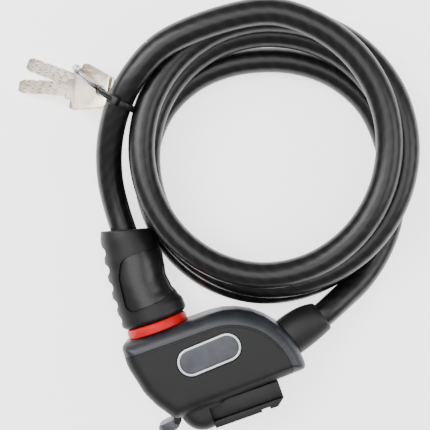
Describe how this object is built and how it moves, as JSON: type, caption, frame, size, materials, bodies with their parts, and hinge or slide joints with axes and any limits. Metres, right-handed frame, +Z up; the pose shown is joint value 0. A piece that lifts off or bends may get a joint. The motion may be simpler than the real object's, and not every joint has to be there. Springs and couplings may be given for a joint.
{
  "type": "coil cable lock",
  "caption": "Key-operated cable lock: flat lock head with pull-out latch grip on a thick coiled steel cable, with two keys tied to the coil.",
  "frame": {"origin": "on the back cover's rest face, below the middle of the lock head; the head lies on its back on z = 0", "axes": "+X along the head towards the cable boot, +Y along the latch from the head towards the grip, +Z up, out of the badge face"},
  "size_m": [0.2101, 0.2402, 0.057],
  "materials": {
    "band": "grey-blue coated band, satin",
    "cover": "black fine-textured moulding",
    "badge": "brushed grey badge field",
    "badge_edge": "raised light rim",
    "red_ring": "red ring, gloss",
    "seal": "black rubber wiper",
    "steel": "hardened steel, brushed",
    "boot": "black cable boot, matte",
    "brass": "machined brass",
    "plug": "nickel plated plug",
    "spring": "spring wire",
    "rail": "dark grey glass-filled rail",
    "screw": "zinc plated screws",
    "cable": "smoky translucent PVC over steel strands",
    "tie": "black nylon tie",
    "grip": "black soft-touch grip",
    "pad": "textured thumb pad",
    "flap": "dark grey flap",
    "key": "nickel plated brass key",
    "key_wire": "split ring, polished"
  },
  "bodies": {
    "head": {"centre_frame": "band", "front_cover": "cover", "back_cover": "cover", "badge_plate": "badge", "badge_rim": "badge_edge", "mouth_ring": "red_ring", "mouth_seal": "seal", "bolt_guide": "steel", "boot_sleeve": "boot", "body_ferrule": "steel", "ferrule_pin": "steel", "cylinder_housing": "brass", "driver_pins": "steel", "pin_springs": "spring", "mount_rail": "rail", "cover_screws": "screw", "ejector_spring": "spring", "flap_pin": "steel", "cable_coil": "cable", "cable_body_run": "cable", "cable_latch_run": "cable", "key_tie": "tie"},
    "latch": {"grip_sleeve": "grip", "thumb_pad": "pad", "latch_bolt": "steel", "latch_ferrule": "steel", "cable_latch_end": "cable"},
    "plug": {"cylinder_plug": "plug", "key_pins": "brass", "lock_cam": "steel"},
    "catch": {"catch_slide": "steel"},
    "ejector": {"ejector_plunger": "steel"},
    "flap": {"keyway_flap": "flap"},
    "ring": {"key_ring": "key_wire"},
    "key_a": {"key_1": "key"},
    "key_b": {"key_2": "key"}
  },
  "joints": [
    {"name": "latch_slide", "type": "slide", "parent": "head", "child": "latch", "axis": [0, 1, 0], "range_m": [0, 0.02], "deforming": ["cable_latch_run"]},
    {"name": "ejector_slide", "type": "slide", "parent": "head", "child": "ejector", "axis": [0, 1, 0], "range_m": [0, 0.003], "deforming": ["ejector_spring"]},
    {"name": "plug_turn", "type": "hinge", "parent": "head", "child": "plug", "pos_m": [-0.0381, -0.0142, 0.02], "axis": [-0.8241, -0.5664, 0], "range_deg": [0, 90]},
    {"name": "catch_slide_in", "type": "slide", "parent": "head", "child": "catch", "axis": [-1, 0, 0], "range_m": [0, 0.0017]},
    {"name": "flap_swing", "type": "hinge", "parent": "head", "child": "flap", "pos_m": [-0.0337, -0.0228, 0.02], "axis": [0, 0, 1], "range_deg": [-57.5, 20]},
    {"name": "key_ring_swing", "type": "hinge", "parent": "head", "child": "ring", "pos_m": [-0.0107, 0.1715, 0.026], "axis": [-0.3896, 0.8357, -0.3871], "range_deg": [-15, 15]},
    {"name": "key_1_swing", "type": "hinge", "parent": "head", "child": "key_a", "pos_m": [-0.0107, 0.1715, 0.026], "axis": [-0.3617, 0.2477, 0.8988], "range_deg": [-2, 10]},
    {"name": "key_2_swing", "type": "hinge", "parent": "head", "child": "key_b", "pos_m": [-0.0107, 0.1715, 0.026], "axis": [-0.3617, 0.2477, 0.8988], "range_deg": [-3.5, 2]}
  ],
  "couplings": [
    {"joint": "ejector_slide", "follows": "latch_slide", "ratio": 0.15},
    {"joint": "catch_slide_in", "follows": "plug_turn", "m_per_rad": 0.001019}
  ]
}
